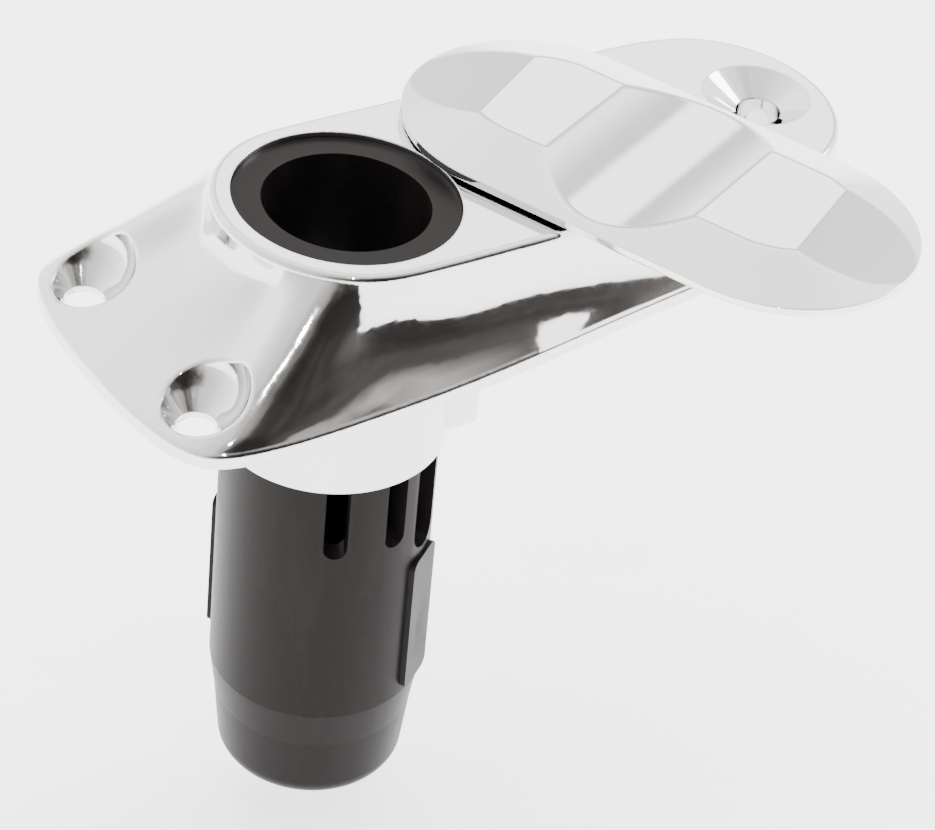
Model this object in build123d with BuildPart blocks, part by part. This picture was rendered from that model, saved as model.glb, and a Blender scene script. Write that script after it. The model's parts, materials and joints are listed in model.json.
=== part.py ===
"""Boat stanchion base with a swinging cover, in millimetres.

Frame: origin on the stanchion bore's axis at the deck plane (the flange's underside),
+X towards the single nose screw, +Z up out of the deck.
The platform under the cover slopes down a little towards +X, and the cover's pivot
stands square to it.
"""
from build123d import *
from math import cos, hypot, radians, sin, tan
import os

os.makedirs("parts", exist_ok=True)

# ---------------------------------------------------------------- driving dimensions
# socket: the bore takes a 25 mm stanchion tube
BORE_R = 12.75
BORE_RELIEF_R = 13.3  # the tube below the collar is a little wider than the collar
COLLAR_BOTTOM = -10.0
LINER_R = 16.9
LINER_HEAD_R = 17.25
LINER_HEAD_DEPTH = 12.0
LINER_RECESS = 0.85
FIT_GAP = 0.05

# casting
PLATFORM_HEIGHT = 19.4
PLATFORM_SLOPE = 3.5
FLANGE_THICKNESS = 2.6
FLANGE_EDGE_R = 1.1
RIM_EDGE_R = 1.1
BOSS_R = 20.5
SIDE_HALF_WIDTH = 20.45
NOSE_X = 66.3
NOSE_R = 20.45
NOSE_FLANGE_R = 22.0
NECK_R = 17.9
NECK_DEPTH = 22.7
NECK_SEAT = 0.5
LUG_HALF_WIDTH = 11.3
LUG_REACH = 19.2
LUG_RISE = 0.8
PIVOT_WEB = 5.0
POCKET_R = 9.0

# deck screws: two in bowls at the rear, one countersunk in the nose
REAR_HOLE_R = 3.0
REAR_SCREW_X = -34.3
REAR_SCREW_Y = 16.8
CUP_R = 7.6
CUP_FLOOR = 1.0
CUP_BOWL_R = 8.0
CUP_LIP_R = 0.7
NOSE_SCREW_X = 75.9
NOSE_HOLE_R = 3.5
NOSE_SINK_R = 8.4
NOSE_SINK_DEPTH = 3.3

# socket tube below the deck
TUBE_END = -76.5
TAPER_START = -69.5
TAPER_R = 15.9
SLOT_TOP = -12.0
SLOT_BOTTOM = -36.6
SLOT_WIDTH = 3.7
SLOT_ANGLES = (-61.0, -27.0)
WINDOW_BOTTOM = -41.0
WINDOW_WIDTH = 6.6
RIB_ANGLE = -55.6
RIB_TOP = -42.5
RIB_BOTTOM = -68.5
RIB_WIDTH = 8.0
RIB_PROUD = 0.5
RIB_CORNER_R = 1.5
RIB_ROOT_R = 15.35  # inside the tube's wall
CAP_BOTTOM = -89.5
CAP_FOOT_R = 14.6
CAP_EDGE_R = 4.0
CAP_SPIGOT_R = 13.25
CAP_SPIGOT_HEIGHT = 4.0
CAP_WELL_R = 10.5
CAP_FLOOR = 4.0
DRAIN_R = 3.0

# swinging cover, stored swung clear of the bore
PIVOT_X = 40.0
COVER_ANGLE = -65.3
COVER_GAP = 0.5
COVER_HALF_LENGTH = 42.4
COVER_HALF_WIDTH = 21.8
COVER_OFFSET = 15.4
COVER_RIM = 1.5
COVER_FOOT_R = 0.6
COVER_RIDGE_R = 3.0  # rounds the ridges between bevel, end slopes and scoop
COVER_THICKNESS = 5.0
COVER_BEVEL = 10.0
COVER_END_START = 27.0
COVER_END_SLOPE = 13.0
COVER_END_TWIST = 6.0
SCOOP_R = 32.0
SCOOP_DEPTH = 2.8
SCOOP_SHIFT = -0.6

# pivot stack, from the cover down to the nut
STUD_R = 3.0
STUD_CHAMFER = 0.4
STUD_IN_COVER = 3.2
STUD_BELOW_NUT = 0.7
THRUST_R = 9.5
BUSH_R = 4.5
BUSH_FLANGE_R = 7.2
BUSH_FLANGE = 1.0
WASHER_R = 7.5
WASHER_THICKNESS = 1.0
DISC_OUTER_R = 6.8
DISC_INNER_R = 3.2
DISC_THICKNESS = 0.5
DISC_RISE = 0.5
NUT_FLATS = 10.0
NUT_HEIGHT = 3.6
COLLAR_R = 4.5
COLLAR_HEIGHT = 1.4
COLLAR_RING_R = 3.9

CLEAR = 5.0  # how far a cutter runs past what it cuts


# ---------------------------------------------------------------- planes
def sloped_plane(height, share):
    """A plane across the bore's axis at a height, with a share of the platform's slope."""
    angle = radians(PLATFORM_SLOPE * share)
    return Plane(
        origin=(0, 0, height),
        x_dir=(cos(angle), 0, -sin(angle)),
        z_dir=(sin(angle), 0, cos(angle)),
    )


def upright_plane(x, y):
    """The XZ plane moved to a point of the deck, for profiles turned about an upright axis."""
    return Plane(origin=(x, y, 0), x_dir=(1, 0, 0), z_dir=(0, -1, 0))


platform = sloped_plane(PLATFORM_HEIGHT, 1.0)
pivot_plane = platform.moved(Location((PIVOT_X, 0, 0)))
pivot_axis = Axis(pivot_plane.origin, pivot_plane.z_dir)
cover_pivot = pivot_plane.moved(Location((0, 0, COVER_GAP), (0, 0, COVER_ANGLE)))
cover_plane = cover_pivot.moved(Location((COVER_OFFSET, 0, 0)))
nose_screw_z = PLATFORM_HEIGHT - NOSE_SCREW_X * tan(radians(PLATFORM_SLOPE))
liner_shoulder = PLATFORM_HEIGHT - LINER_HEAD_DEPTH


# ---------------------------------------------------------------- casting outlines
def on_circle(x, radius, angle):
    """A point on a circle centred on the X axis."""
    return (x + radius * cos(radians(angle)), radius * sin(radians(angle)))


# Half outline from the rear middle to the nose: the flange's point, the platform's point,
# and how hollow the wall is between them (1 is straight, more is hollow).
STATIONS = [
    ((-42.6, 0.0), on_circle(0, BOSS_R, 180), 2.4),
    ((-42.3, 9.0), on_circle(0, BOSS_R, 163), 2.4),
    ((-40.9, 18.0), on_circle(0, BOSS_R, 151), 2.1),
    ((-37.4, 24.9), on_circle(0, BOSS_R, 140), 1.2),
    ((-30.5, 27.5), on_circle(0, BOSS_R, 128), 1.1),
    ((-14.0, 28.4), on_circle(0, BOSS_R, 109), 2.0),
    ((2.0, 28.0), (2.0, SIDE_HALF_WIDTH), 2.4),
    ((17.0, 26.8), (17.0, SIDE_HALF_WIDTH), 2.4),
    ((33.0, 25.0), (33.0, SIDE_HALF_WIDTH), 2.2),
    ((50.0, 23.4), (50.0, SIDE_HALF_WIDTH), 2.0),
    (on_circle(NOSE_X, NOSE_FLANGE_R, 90), on_circle(NOSE_X, NOSE_R, 90), 1.6),
    (on_circle(NOSE_X, NOSE_FLANGE_R, 62), on_circle(NOSE_X, NOSE_R, 62), 1.5),
    (on_circle(NOSE_X, NOSE_FLANGE_R, 31), on_circle(NOSE_X, NOSE_R, 31), 1.5),
    (on_circle(NOSE_X, NOSE_FLANGE_R, 0), on_circle(NOSE_X, NOSE_R, 0), 1.5),
]
SQUARE_ENDS = [(0, 1), (0, -1)]  # the outline leaves and meets the centre line at right angles
END_PULLS = (1.0, 1.0)
WALL_DROPS = (0.0, 0.2, 0.4, 0.6, 0.8, 1.0)
RIM_TURNS = (0.0, 30.0, 60.0, 90.0)  # the rounding of the platform's edge, from upright to level
FLANGE_TURNS = (0.0, 30.0, 60.0)
wall_top = PLATFORM_HEIGHT - RIM_EDGE_R
flange_side = FLANGE_THICKNESS - FLANGE_EDGE_R
wall_foot = flange_side + FLANGE_EDGE_R * sin(radians(FLANGE_TURNS[-1]))
foot_inset = FLANGE_EDGE_R * (1 - cos(radians(FLANGE_TURNS[-1])))


def half_outline(drop, inset):
    """Left half of the casting's outline, tail to nose: drop is 0 at the platform, 1 at the flange."""
    half = []
    for flange, top, hollow in STATIONS:
        share = drop**hollow
        half.append((top[0] + (flange[0] - top[0]) * share, top[1] + (flange[1] - top[1]) * share))
    moved = []
    for index, (x, y) in enumerate(half):
        before = half[index - 1] if index > 0 else (x, -half[1][1])
        after = half[index + 1] if index < len(half) - 1 else (x, -half[-2][1])
        along_x = after[0] - before[0] if 0 < index < len(half) - 1 else 0.0
        along_y = after[1] - before[1]
        length = hypot(along_x, along_y)
        moved.append((x + inset * along_y / length, y - inset * along_x / length))
    return moved


# ---------------------------------------------------------------- deck casting
with BuildPart() as deck_casting:
    # level flange plate
    with BuildSketch(Plane.XY):
        with BuildLine():
            Spline(*half_outline(1.0, 0.0), tangents=SQUARE_ENDS, tangent_scalars=END_PULLS)
            mirror(about=Plane.XZ)
        make_face()
    extrude(amount=flange_side)
    # rounded edge of the flange
    for turn in FLANGE_TURNS:
        with BuildSketch(Plane.XY.offset(flange_side + FLANGE_EDGE_R * sin(radians(turn)))):
            with BuildLine():
                edge_points = half_outline(1.0, FLANGE_EDGE_R * (1 - cos(radians(turn))))
                Spline(*edge_points, tangents=SQUARE_ENDS, tangent_scalars=END_PULLS)
                mirror(about=Plane.XZ)
            make_face()
    loft()
    # hollow wall between the flange and the sloped platform
    for drop in WALL_DROPS:
        with BuildSketch(sloped_plane(wall_top - (wall_top - wall_foot) * drop, 1.0 - drop)):
            with BuildLine():
                wall_points = half_outline(drop, foot_inset * drop)
                Spline(*wall_points, tangents=SQUARE_ENDS, tangent_scalars=END_PULLS)
                mirror(about=Plane.XZ)
            make_face()
    loft()
    # rounded edge of the platform
    for turn in RIM_TURNS:
        with BuildSketch(sloped_plane(wall_top + RIM_EDGE_R * sin(radians(turn)), 1.0)):
            with BuildLine():
                rim_points = half_outline(0.0, RIM_EDGE_R * (1 - cos(radians(turn))))
                Spline(*rim_points, tangents=SQUARE_ENDS, tangent_scalars=END_PULLS)
                mirror(about=Plane.XZ)
            make_face()
    loft()

    # rear screws: a bowl over a conical seat, open upwards
    for side in (-1, 1):
        y = side * REAR_SCREW_Y
        seat_top = CUP_FLOOR + CUP_R - REAR_HOLE_R
        with BuildSketch(upright_plane(REAR_SCREW_X, y)) as cup:
            with BuildLine():
                Polyline(
                    (0, -CLEAR),
                    (REAR_HOLE_R, -CLEAR),
                    (REAR_HOLE_R, CUP_FLOOR),
                    (CUP_R, seat_top),
                    (CUP_R, PLATFORM_HEIGHT + CLEAR),
                    (0, PLATFORM_HEIGHT + CLEAR),
                    close=True,
                )
            make_face()
            bowl_corner = cup.vertices().sort_by_distance((CUP_R, seat_top))[0]
            fillet(bowl_corner, CUP_BOWL_R)
        revolve(axis=Axis((REAR_SCREW_X, y, 0), (0, 0, 1)), mode=Mode.SUBTRACT)
        cup_lip = deck_casting.edges(Select.LAST).filter_by(lambda e: e.center().Z > seat_top)
        fillet(cup_lip, CUP_LIP_R)

    # nose screw: a wide shallow countersink
    with BuildSketch(upright_plane(NOSE_SCREW_X, 0)):
        sink_flare = (NOSE_SINK_R - NOSE_HOLE_R) / NOSE_SINK_DEPTH
        with BuildLine():
            Polyline(
                (0, -CLEAR),
                (NOSE_HOLE_R, -CLEAR),
                (NOSE_HOLE_R, nose_screw_z - NOSE_SINK_DEPTH),
                (NOSE_SINK_R + CLEAR * sink_flare, nose_screw_z + CLEAR),
                (0, nose_screw_z + CLEAR),
                close=True,
            )
        make_face()
    revolve(axis=Axis((NOSE_SCREW_X, 0, 0), (0, 0, 1)), mode=Mode.SUBTRACT)

    # shallow seat for the neck
    with BuildSketch(Plane.XY.offset(-CLEAR)):
        Circle(NECK_R)
        with Locations((LUG_REACH / 2, 0)):
            Rectangle(LUG_REACH, 2 * LUG_HALF_WIDTH)
    extrude(amount=CLEAR + NECK_SEAT, mode=Mode.SUBTRACT)

    # stepped bore for the liner
    with BuildSketch(Plane.XY.offset(-CLEAR)):
        Circle(LINER_R + FIT_GAP)
    extrude(amount=PLATFORM_HEIGHT + 2 * CLEAR, mode=Mode.SUBTRACT)
    with BuildSketch(Plane.XY.offset(liner_shoulder)):
        Circle(LINER_HEAD_R + FIT_GAP)
    extrude(amount=LINER_HEAD_DEPTH + CLEAR, mode=Mode.SUBTRACT)

    # pivot hole, with the nut's pocket under it
    with BuildSketch(pivot_plane.offset(CLEAR)):
        Circle(BUSH_R + FIT_GAP)
    extrude(amount=-PIVOT_WEB - 2 * CLEAR, mode=Mode.SUBTRACT)
    with BuildSketch(pivot_plane.offset(-PIVOT_WEB)):
        Circle(POCKET_R)
    extrude(amount=-PLATFORM_HEIGHT - CLEAR, mode=Mode.SUBTRACT)

# ---------------------------------------------------------------- neck
# one with the casting in metal, and a solid of its own so that the room under the flange stays open
with BuildPart() as casting_neck:
    with BuildSketch(Plane.XY.offset(NECK_SEAT)):
        Circle(NECK_R)
    extrude(amount=-NECK_DEPTH - NECK_SEAT)
    # squared on one side so that it can't turn in the deck
    with BuildSketch(Plane.XY.offset(NECK_SEAT)):
        with Locations((LUG_REACH / 2, 0)):
            Rectangle(LUG_REACH, 2 * LUG_HALF_WIDTH)
    extrude(amount=-NECK_DEPTH - NECK_SEAT + LUG_RISE)
    with BuildSketch(Plane.XY.offset(CLEAR)):
        Circle(LINER_R + FIT_GAP)
    extrude(amount=-NECK_DEPTH - 2 * CLEAR, mode=Mode.SUBTRACT)

# ---------------------------------------------------------------- socket liner
with BuildPart() as socket_liner:
    # head in the casting, then the tube with its tapered end
    with BuildSketch(Plane.XZ):
        with BuildLine():
            Polyline(
                (BORE_R, PLATFORM_HEIGHT + CLEAR),
                (LINER_HEAD_R, PLATFORM_HEIGHT + CLEAR),
                (LINER_HEAD_R, liner_shoulder),
                (LINER_R, liner_shoulder),
                (LINER_R, TAPER_START),
                (TAPER_R, TUBE_END),
                (BORE_RELIEF_R, TUBE_END),
                (BORE_RELIEF_R, COLLAR_BOTTOM),
                (BORE_R, COLLAR_BOTTOM),
                close=True,
            )
        make_face()
    revolve(axis=Axis.Z)
    split(bisect_by=platform.offset(-LINER_RECESS), keep=Keep.BOTTOM)
    # two long ribs centre the tube under the deck
    for base in (RIB_ANGLE, RIB_ANGLE + 180):
        rib_plane = Plane(
            origin=(0, 0, (RIB_TOP + RIB_BOTTOM) / 2),
            x_dir=(0, 0, 1),
            z_dir=(cos(radians(base)), sin(radians(base)), 0),
        )
        with BuildSketch(rib_plane.offset(RIB_ROOT_R)) as rib:
            Rectangle(RIB_TOP - RIB_BOTTOM, RIB_WIDTH)
            fillet(rib.vertices(), RIB_CORNER_R)
        extrude(amount=LINER_R + RIB_PROUD - RIB_ROOT_R)
    # round-ended slots, and a wider window over each rib
    for base in (RIB_ANGLE, RIB_ANGLE + 180):
        cuts = [(angle, SLOT_BOTTOM, SLOT_WIDTH) for angle in SLOT_ANGLES]
        cuts.append((0.0, WINDOW_BOTTOM, WINDOW_WIDTH))
        for angle, bottom, width in cuts:
            turn = radians(base + angle)
            slot_plane = Plane(
                origin=(0, 0, (SLOT_TOP + bottom) / 2),
                x_dir=(0, 0, 1),
                z_dir=(cos(turn), sin(turn), 0),
            )
            with BuildSketch(slot_plane):
                SlotOverall(SLOT_TOP - bottom, width)
            extrude(amount=LINER_R + CLEAR, mode=Mode.SUBTRACT)

# ---------------------------------------------------------------- end cap of the liner
with BuildPart() as liner_end_cap:
    with BuildSketch(Plane.XZ) as cap_profile:
        with BuildLine():
            Polyline(
                (DRAIN_R, CAP_BOTTOM),
                (CAP_FOOT_R, CAP_BOTTOM),
                (TAPER_R, TUBE_END),
                (CAP_SPIGOT_R, TUBE_END),
                (CAP_SPIGOT_R, TUBE_END + CAP_SPIGOT_HEIGHT),
                (CAP_WELL_R, TUBE_END + CAP_SPIGOT_HEIGHT),
                (CAP_WELL_R, CAP_BOTTOM + CAP_FLOOR),
                (DRAIN_R, CAP_BOTTOM + CAP_FLOOR),
                close=True,
            )
        make_face()
        foot_corner = cap_profile.vertices().sort_by_distance((CAP_FOOT_R, CAP_BOTTOM))[0]
        fillet(foot_corner, CAP_EDGE_R)
    revolve(axis=Axis.Z)

# ---------------------------------------------------------------- swinging cover
with BuildPart() as swing_cover:
    with BuildSketch(cover_plane):
        SlotOverall(2 * COVER_HALF_LENGTH, 2 * COVER_HALF_WIDTH)
    extrude(amount=COVER_RIM)
    with BuildSketch(cover_plane.offset(COVER_RIM)):
        SlotOverall(2 * COVER_HALF_LENGTH, 2 * COVER_HALF_WIDTH)
    with BuildSketch(cover_plane.offset(COVER_THICKNESS)):
        SlotOverall(2 * (COVER_HALF_LENGTH - COVER_BEVEL), 2 * (COVER_HALF_WIDTH - COVER_BEVEL))
    loft(ruled=True)
    cover_foot = swing_cover.faces().sort_by(Axis(cover_plane.origin, cover_plane.z_dir))[0]
    fillet(cover_foot.edges(), COVER_FOOT_R)
    # both ends fall away towards the tips
    for turn in (0, 180):
        end_plane = cover_plane.moved(Location((0, 0, 0), (0, 0, turn + COVER_END_TWIST)))
        end_start = Location((COVER_END_START, 0, COVER_THICKNESS), (0, COVER_END_SLOPE, 0))
        with BuildSketch(end_plane.moved(end_start)):
            Rectangle(2 * COVER_HALF_LENGTH, 4 * COVER_HALF_WIDTH, align=(Align.MIN, Align.CENTER))
        extrude(amount=2 * CLEAR, mode=Mode.SUBTRACT)
    # thumb scoop across the middle
    scoop_plane = cover_plane.moved(Location((SCOOP_SHIFT, 0, 0), (90, 0, 0)))
    with BuildSketch(scoop_plane):
        with Locations((0, COVER_THICKNESS - SCOOP_DEPTH + SCOOP_R)):
            Circle(SCOOP_R)
    extrude(amount=2 * COVER_HALF_WIDTH, both=True, mode=Mode.SUBTRACT)
    ridges = [
        edge
        for edge in swing_cover.edges()
        if cover_plane.to_local_coords(edge.center()).Z > COVER_RIM + FIT_GAP
    ]
    fillet(ridges, COVER_RIDGE_R)
    # blind thread for the pivot stud
    with BuildSketch(cover_pivot):
        Circle(STUD_R)
    extrude(amount=STUD_IN_COVER, mode=Mode.SUBTRACT)

# ---------------------------------------------------------------- pivot stack
def ring(plane, inner, outer, thickness):
    """A flat washer standing on a plane."""
    with BuildPart() as washer:
        with BuildSketch(plane):
            Circle(outer)
            Circle(inner, mode=Mode.SUBTRACT)
        extrude(amount=thickness)
    return washer


thrust_washer = ring(pivot_plane, BUSH_R + FIT_GAP, THRUST_R, COVER_GAP - FIT_GAP)

with BuildPart() as pivot_bush:
    with BuildSketch(pivot_plane.offset(-PIVOT_WEB)):
        Circle(BUSH_R)
    extrude(amount=PIVOT_WEB + COVER_GAP - FIT_GAP)
    with BuildSketch(pivot_plane.offset(-PIVOT_WEB - BUSH_FLANGE)):
        Circle(BUSH_FLANGE_R)
    extrude(amount=BUSH_FLANGE)
    with BuildSketch(pivot_plane.offset(CLEAR)):
        Circle(STUD_R + FIT_GAP)
    extrude(amount=-PIVOT_WEB - 2 * CLEAR, mode=Mode.SUBTRACT)

upper_washer_z = -PIVOT_WEB - BUSH_FLANGE - FIT_GAP - WASHER_THICKNESS
upper_washer = ring(pivot_plane.offset(upper_washer_z), STUD_R, WASHER_R, WASHER_THICKNESS)


def disc_spring(top, direction):
    """A coned disc spring: direction 1 is high at the rim, -1 high at the hole."""
    inner_top = top if direction < 0 else top - DISC_RISE
    outer_top = top if direction > 0 else top - DISC_RISE
    disc_plane = Plane(origin=pivot_plane.origin, x_dir=pivot_plane.x_dir, z_dir=(0, -1, 0))
    with BuildPart() as disc:
        with BuildSketch(disc_plane):
            with BuildLine():
                Polyline(
                    (DISC_INNER_R, inner_top),
                    (DISC_OUTER_R, outer_top),
                    (DISC_OUTER_R, outer_top - DISC_THICKNESS),
                    (DISC_INNER_R, inner_top - DISC_THICKNESS),
                    close=True,
                )
            make_face()
        revolve(axis=pivot_axis)
    return disc


disc_height = DISC_THICKNESS + DISC_RISE
upper_disc_spring = disc_spring(upper_washer_z, 1)
lower_disc_spring = disc_spring(upper_washer_z - disc_height, -1)
lower_washer_z = upper_washer_z - 2 * disc_height - WASHER_THICKNESS
lower_washer = ring(pivot_plane.offset(lower_washer_z), STUD_R, WASHER_R, WASHER_THICKNESS)

nut_top = pivot_plane.offset(lower_washer_z)
with BuildPart() as lock_nut:
    with BuildSketch(nut_top):
        RegularPolygon(NUT_FLATS / 2, 6, major_radius=False)
    extrude(amount=-NUT_HEIGHT)
    with BuildSketch(nut_top.offset(-NUT_HEIGHT)):
        Circle(COLLAR_R)
    extrude(amount=-COLLAR_HEIGHT)
    with BuildSketch(nut_top.offset(-NUT_HEIGHT)):
        Circle(COLLAR_RING_R)
    extrude(amount=-COLLAR_HEIGHT - CLEAR, mode=Mode.SUBTRACT)
    with BuildSketch(nut_top.offset(CLEAR)):
        Circle(STUD_R)
    extrude(amount=-NUT_HEIGHT - 2 * CLEAR, mode=Mode.SUBTRACT)

nut_insert = ring(nut_top.offset(-NUT_HEIGHT - COLLAR_HEIGHT), STUD_R, COLLAR_RING_R, COLLAR_HEIGHT)

stud_end = lower_washer_z - NUT_HEIGHT - COLLAR_HEIGHT - STUD_BELOW_NUT
with BuildPart() as pivot_stud:
    with BuildSketch(pivot_plane.offset(stud_end)):
        Circle(STUD_R)
    extrude(amount=COVER_GAP + STUD_IN_COVER - stud_end)
    chamfer(pivot_stud.edges().filter_by(GeomType.CIRCLE), STUD_CHAMFER)

# ---------------------------------------------------------------- files
PARTS = {
    "deck_casting": deck_casting,
    "casting_neck": casting_neck,
    "socket_liner": socket_liner,
    "liner_end_cap": liner_end_cap,
    "swing_cover": swing_cover,
    "thrust_washer": thrust_washer,
    "pivot_bush": pivot_bush,
    "upper_washer": upper_washer,
    "upper_disc_spring": upper_disc_spring,
    "lower_disc_spring": lower_disc_spring,
    "lower_washer": lower_washer,
    "lock_nut": lock_nut,
    "nut_insert": nut_insert,
    "pivot_stud": pivot_stud,
}
for name, builder in PARTS.items():
    builder.part.label = name
    export_step(builder.part, f"parts/{name}.step")
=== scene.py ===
"""Looks of the boat stanchion base: chrome casting and cover, black liner, nylon and steel trim."""

import json
import math

import bpy
from mathutils import Matrix, Vector


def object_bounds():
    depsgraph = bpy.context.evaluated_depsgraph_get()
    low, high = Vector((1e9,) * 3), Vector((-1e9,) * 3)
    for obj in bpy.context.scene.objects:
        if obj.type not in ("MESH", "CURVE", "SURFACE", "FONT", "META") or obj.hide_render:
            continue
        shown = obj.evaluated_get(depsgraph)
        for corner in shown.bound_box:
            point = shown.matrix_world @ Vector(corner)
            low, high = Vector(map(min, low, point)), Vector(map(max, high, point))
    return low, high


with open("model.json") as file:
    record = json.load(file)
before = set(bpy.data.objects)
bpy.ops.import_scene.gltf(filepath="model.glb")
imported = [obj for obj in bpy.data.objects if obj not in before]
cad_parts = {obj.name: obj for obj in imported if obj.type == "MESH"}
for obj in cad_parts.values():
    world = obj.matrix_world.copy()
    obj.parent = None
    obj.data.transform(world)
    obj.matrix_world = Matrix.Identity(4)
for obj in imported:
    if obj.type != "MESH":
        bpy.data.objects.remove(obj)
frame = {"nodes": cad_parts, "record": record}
cad_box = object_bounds()

# ------------------------------------------------------------------ driving values, metres and degrees
CAMERA_PLACE = (-0.27812, -0.41826, 0.38192)
CAMERA_AZIMUTH = -35.994
CAMERA_ELEVATION = 38.638
CAMERA_ROLL = 5.603
CAMERA_LENS = 161.7
SENSOR_WIDTH = 36.0

FLOOR_DROP = 0.012  # gap between the tube's end and the floor
FLOOR_SIZE = 8.0
FLOOR_TONE = (0.93, 0.93, 0.93)
FLOOR_GLOW = 1.9

OVERHEAD_PLACE = (0.2, 0.3, 1.6)
OVERHEAD_SIZE = 1.6
OVERHEAD_POWER = 40.0
OVERHEAD_TINT = (1.0, 0.995, 0.985)
SIDE_PLACE = (1.3, -0.1, 0.7)
SIDE_SIZE = 0.5
SIDE_POWER = 8.0
SPARK_PLACE = (-0.226, -0.841, 1.251)
SPARK_SIZE = 0.03
SPARK_POWER = 3.0

TENT_STRENGTH = 3.7
DIM_SIDE = (0.15, -0.96, 0.22)  # the middle of the tent's dim side, as a direction
GREY_SIDE = (-0.55, -0.60, 0.60)  # the tent is greyer this way, high up behind the camera
GREY_DEPTH = 0.55
SEAM_MIDDLE = (0.579, 0.639, 0.506)  # the seam runs round this direction
SEAM_TONES = [  # by the cosine of the angle from its middle: panel outside, seam, panel inside
    (0.00, (0.88, 0.88, 0.88)),
    (0.90, (0.80, 0.80, 0.80)),
    (0.955, (0.46, 0.46, 0.46)),
    (0.980, (0.40, 0.40, 0.40)),
    (0.9885, (1.00, 1.00, 1.00)),
]
FOLD_SCALE = 2.6
FOLD_DEPTH = 0.42
TENT_TONES = [  # from the bright side of the tent, at 0, to the middle of its dim side
    (0.00, (1.00, 1.00, 0.985)),
    (0.50, (0.86, 0.85, 0.83)),
    (0.70, (0.44, 0.425, 0.40)),
    (0.79, (0.19, 0.18, 0.168)),
    (0.84, (0.060, 0.055, 0.051)),
    (0.97, (0.022, 0.020, 0.019)),
]


# ------------------------------------------------------------------ node helpers
class Nodes:
    """Adds and links shader nodes of one material with short calls."""

    def __init__(self, name):
        self.material = bpy.data.materials.new(name)
        self.material.use_nodes = True
        self.tree = self.material.node_tree
        self.shader = self.tree.nodes["Principled BSDF"]
        self.place = self.add("ShaderNodeTexCoord").outputs["Object"]

    def add(self, kind, **values):
        node = self.tree.nodes.new(kind)
        for name, value in values.items():
            setattr(node, name, value)
        return node

    def link(self, source, target):
        self.tree.links.new(source, target)

    def noise(self, scale, detail=2.0, roughness=0.5, stretch=(1, 1, 1)):
        """Noise in the model's frame, where a stretch under 1 draws it out along that axis."""
        mapping = self.add("ShaderNodeMapping")
        mapping.inputs["Scale"].default_value = stretch
        self.link(self.place, mapping.inputs["Vector"])
        node = self.add("ShaderNodeTexNoise")
        node.inputs["Scale"].default_value = scale
        node.inputs["Detail"].default_value = detail
        node.inputs["Roughness"].default_value = roughness
        self.link(mapping.outputs["Vector"], node.inputs["Vector"])
        return node.outputs["Fac"]

    def ramp(self, value, low, high, out_low, out_high):
        """Maps a value's stretch low..high to out_low..out_high, clamped."""
        node = self.add("ShaderNodeMapRange")
        node.inputs["From Min"].default_value = low
        node.inputs["From Max"].default_value = high
        node.inputs["To Min"].default_value = out_low
        node.inputs["To Max"].default_value = out_high
        self.link(value, node.inputs["Value"])
        return node.outputs["Result"]

    def math(self, operation, first, second):
        node = self.add("ShaderNodeMath", operation=operation)
        for socket, value in zip(node.inputs, (first, second)):
            if isinstance(value, (int, float)):
                socket.default_value = value
            else:
                self.link(value, socket)
        return node.outputs["Value"]

    def mix(self, factor, first, second):
        """Mixes two colours by a factor."""
        node = self.add("ShaderNodeMix", data_type="RGBA")
        self.link(factor, node.inputs["Factor"])
        node.inputs["A"].default_value = (*first, 1)
        node.inputs["B"].default_value = (*second, 1)
        return node.outputs["Result"]

    def rounded_edges(self, radius):
        """Shading normal that rolls over sharp edges by a radius."""
        node = self.add("ShaderNodeBevel")
        node.samples = 6
        node.inputs["Radius"].default_value = radius
        return node.outputs["Normal"]

    def bump(self, height, distance, base=None):
        node = self.add("ShaderNodeBump")
        if base is not None:
            self.link(base, node.inputs["Normal"])
        node.inputs["Strength"].default_value = 1.0
        node.inputs["Distance"].default_value = distance
        self.link(height, node.inputs["Height"])
        return node.outputs["Normal"]


def polished_metal(name, dark, light, smooth, worn, wave, edge):
    """Mirror-polished metal: cloudy tone, buffing marks, slow waves and softened edges."""
    n = Nodes(name)
    n.shader.inputs["Metallic"].default_value = 1.0
    clouds = n.noise(60.0, 3.0)
    n.link(n.mix(clouds, dark, light), n.shader.inputs["Base Color"])
    buffing = n.noise(900.0, 4.0, 0.6, (1.0, 0.12, 1.0))
    n.link(n.ramp(buffing, 0.35, 0.75, smooth, worn), n.shader.inputs["Roughness"])
    swell = n.noise(34.0, 1.0)
    fine = n.noise(1500.0, 2.0)
    height = n.math("ADD", swell, n.math("MULTIPLY", fine, 0.01))
    n.link(n.bump(height, wave, base=n.rounded_edges(edge)), n.shader.inputs["Normal"])
    return n.material


def moulded_plastic(name, dark, light, smooth, worn, grain, gloss):
    """Moulded plastic: fine grain, cloudy tone and rubbed patches that are rougher and paler."""
    n = Nodes(name)
    rubbed = n.ramp(n.noise(140.0, 6.0, 0.7, (1, 1, 0.35)), 0.5, 0.72, 0.0, 1.0)
    n.link(n.mix(rubbed, dark, light), n.shader.inputs["Base Color"])
    n.link(n.ramp(rubbed, 0.0, 1.0, smooth, worn), n.shader.inputs["Roughness"])
    n.shader.inputs["Specular IOR Level"].default_value = gloss
    n.link(n.bump(n.noise(2600.0, 3.0), grain), n.shader.inputs["Normal"])
    return n.material


def turned_steel(name):
    """Plain steel with fine turning marks round the pivot."""
    n = Nodes(name)
    n.shader.inputs["Metallic"].default_value = 1.0
    marks = n.noise(2200.0, 3.0, 0.6, (0.15, 0.15, 1.0))
    n.link(n.mix(marks, (0.42, 0.42, 0.43), (0.66, 0.66, 0.67)), n.shader.inputs["Base Color"])
    n.link(n.ramp(marks, 0.3, 0.7, 0.22, 0.38), n.shader.inputs["Roughness"])
    n.link(n.bump(marks, 0.00002), n.shader.inputs["Normal"])
    return n.material


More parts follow.
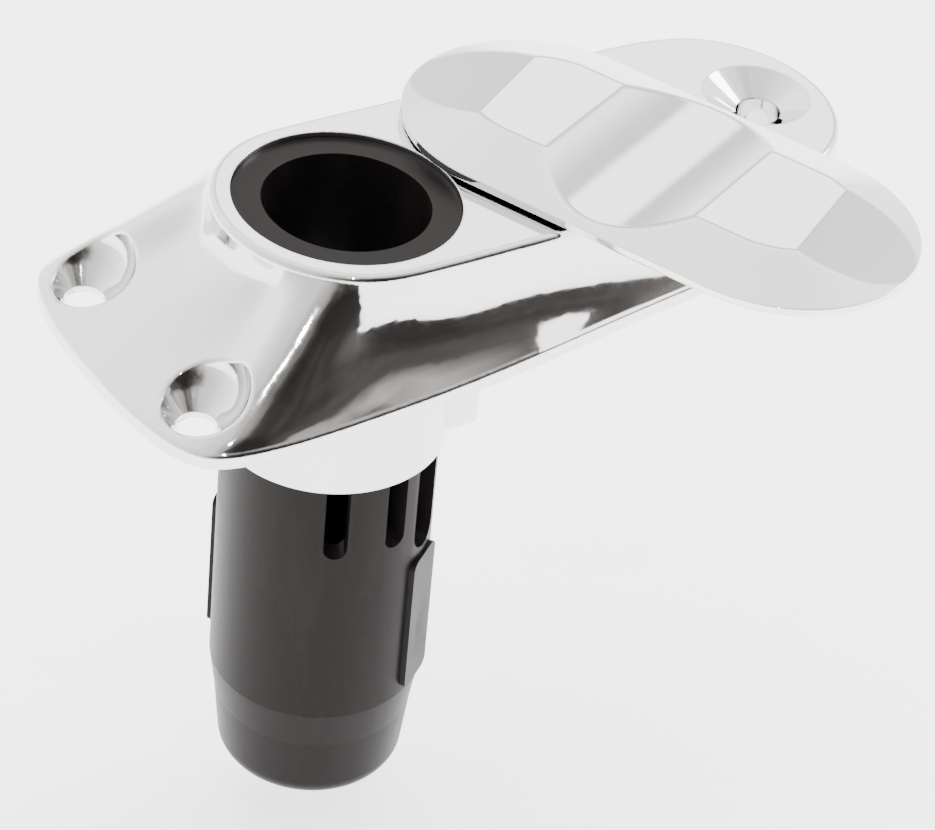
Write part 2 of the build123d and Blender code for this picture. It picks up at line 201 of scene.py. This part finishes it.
# ------------------------------------------------------------------ materials of the CAD nodes
finishes = {
    "polished_casting": polished_metal(
        "polished_casting",
        dark=(0.74, 0.74, 0.75),
        light=(0.80, 0.80, 0.81),
        smooth=0.045,
        worn=0.10,
        wave=0.00022,
        edge=0.0004,
    ),
    "polished_cover": polished_metal(
        "polished_cover",
        dark=(0.80, 0.80, 0.79),
        light=(0.86, 0.86, 0.85),
        smooth=0.05,
        worn=0.11,
        wave=0.00010,
        edge=0.0003,
    ),
    "black_liner": moulded_plastic(
        "black_liner",
        dark=(0.0090, 0.0076, 0.0074),
        light=(0.013, 0.0115, 0.0112),
        smooth=0.34,
        worn=0.46,
        grain=0.00001,
        gloss=0.08,
    ),
    "white_nylon": moulded_plastic(
        "white_nylon",
        dark=(0.74, 0.73, 0.70),
        light=(0.80, 0.79, 0.76),
        smooth=0.42,
        worn=0.55,
        grain=0.00001,
        gloss=0.5,
    ),
    "plain_steel": turned_steel("plain_steel"),
}
slot_of = {part["node"]: part["material_slot"] for part in frame["record"]["subparts"]}
for node_name, piece in frame["nodes"].items():
    for slot in piece.material_slots:
        slot.material = finishes[slot_of[node_name]]


# ------------------------------------------------------------------ floor and lights
def pale_floor():
    """A matt, faintly mottled floor that glows a little, so that it stays pale round the object."""
    n = Nodes("pale_floor")
    mottled = n.noise(3.0, 1.0)
    n.link(n.mix(mottled, FLOOR_TONE, [c * 0.99 for c in FLOOR_TONE]), n.shader.inputs["Base Color"])
    n.shader.inputs["Roughness"].default_value = 0.9
    n.shader.inputs["Specular IOR Level"].default_value = 0.0
    n.shader.inputs["Emission Color"].default_value = (1, 1, 1, 1)
    n.shader.inputs["Emission Strength"].default_value = FLOOR_GLOW
    return n.material


lowest = cad_box[0][2]
centre = Vector([(cad_box[0][i] + cad_box[1][i]) / 2 for i in range(3)])
bpy.ops.mesh.primitive_plane_add(size=1.0, location=(0, 0, lowest - FLOOR_DROP))
floor = bpy.context.object
floor.name = "floor"
floor.scale = (FLOOR_SIZE, FLOOR_SIZE, 1.0)
floor.data.materials.append(pale_floor())


def area_light(name, place, size, power, colour=(1, 1, 1)):
    """A square softbox aimed at the object's middle."""
    data = bpy.data.lights.new(name, "AREA")
    data.size = size
    data.energy = power
    data.color = colour
    lamp = bpy.data.objects.new(name, data)
    bpy.context.scene.collection.objects.link(lamp)
    lamp.location = place
    lamp.rotation_euler = (centre - Vector(place)).to_track_quat("-Z", "Y").to_euler()
    return lamp


overhead = area_light("overhead_softbox", OVERHEAD_PLACE, OVERHEAD_SIZE, OVERHEAD_POWER, OVERHEAD_TINT)
overhead.visible_glossy = False  # lights the floor and plastic, and leaves the chrome to the tent
area_light("side_softbox", SIDE_PLACE, SIDE_SIZE, SIDE_POWER)
area_light("spark_lamp", SPARK_PLACE, SPARK_SIZE, SPARK_POWER)


def studio_world():
    """White tent with a dim side facing the near wall, and a darker seam for the lid's ridges."""
    studio = bpy.data.worlds.new("studio")
    studio.use_nodes = True
    tree = studio.node_tree
    link = tree.links.new
    direction = tree.nodes.new("ShaderNodeTexCoord").outputs["Generated"]

    def add(kind, operation=None):
        node = tree.nodes.new(kind)
        if operation is not None:
            node.operation = operation
        return node

    def facing(side):
        """Cosine of the angle between the looked-at direction and a side."""
        node = add("ShaderNodeVectorMath", "DOT_PRODUCT")
        node.inputs[1].default_value = Vector(side).normalized()
        link(direction, node.inputs[0])
        return node.outputs["Value"]

    def tones(value, stops):
        """Colour ramp with these stops, read at a value."""
        node = add("ShaderNodeValToRGB")
        for place, shade in stops[2:]:
            node.color_ramp.elements.new(place)
        for element, (place, shade) in zip(node.color_ramp.elements, stops):
            element.position = place
            element.color = (*shade, 1)
        link(value, node.inputs["Fac"])
        return node.outputs["Color"]

    folds = add("ShaderNodeTexNoise")
    folds.inputs["Scale"].default_value = FOLD_SCALE
    folds.inputs["Detail"].default_value = 2.0
    link(direction, folds.inputs["Vector"])
    centred = add("ShaderNodeMath", "SUBTRACT")
    centred.inputs[1].default_value = 0.5
    link(folds.outputs["Fac"], centred.inputs[0])
    shifted = add("ShaderNodeMath", "MULTIPLY_ADD")
    shifted.inputs[1].default_value = FOLD_DEPTH
    link(centred.outputs["Value"], shifted.inputs[0])
    link(facing(DIM_SIDE), shifted.inputs[2])

    panels = add("ShaderNodeVectorMath", "MULTIPLY")
    link(tones(shifted.outputs["Value"], TENT_TONES), panels.inputs[0])
    link(tones(facing(SEAM_MIDDLE), SEAM_TONES), panels.inputs[1])

    greyer = add("ShaderNodeMapRange")
    greyer.inputs["To Min"].default_value = 1.0
    greyer.inputs["To Max"].default_value = 1.0 - GREY_DEPTH
    link(facing(GREY_SIDE), greyer.inputs["Value"])
    scaled = add("ShaderNodeVectorMath", "SCALE")
    link(panels.outputs["Vector"], scaled.inputs[0])
    link(greyer.outputs["Result"], scaled.inputs["Scale"])

    background = tree.nodes["Background"]
    link(scaled.outputs["Vector"], background.inputs["Color"])
    background.inputs["Strength"].default_value = TENT_STRENGTH
    return studio


bpy.context.scene.world = studio_world()

# ------------------------------------------------------------------ camera
azimuth = math.radians(CAMERA_AZIMUTH)
elevation = math.radians(CAMERA_ELEVATION)
roll = math.radians(CAMERA_ROLL)
back = Vector(
    (math.sin(azimuth) * math.cos(elevation), -math.cos(azimuth) * math.cos(elevation), math.sin(elevation))
)
level = Vector((math.cos(azimuth), math.sin(azimuth), 0.0))
upward = back.cross(level)
camera_x = level * math.cos(roll) + upward * math.sin(roll)
camera_y = upward * math.cos(roll) - level * math.sin(roll)
camera_data = bpy.data.cameras.new("camera")
camera_data.lens = CAMERA_LENS
camera_data.sensor_width = SENSOR_WIDTH
camera = bpy.data.objects.new("camera", camera_data)
bpy.context.scene.collection.objects.link(camera)
camera.matrix_world = Matrix.Translation(CAMERA_PLACE) @ Matrix(
    [[camera_x[i], camera_y[i], back[i]] for i in range(3)]
).to_4x4()
bpy.context.scene.camera = camera
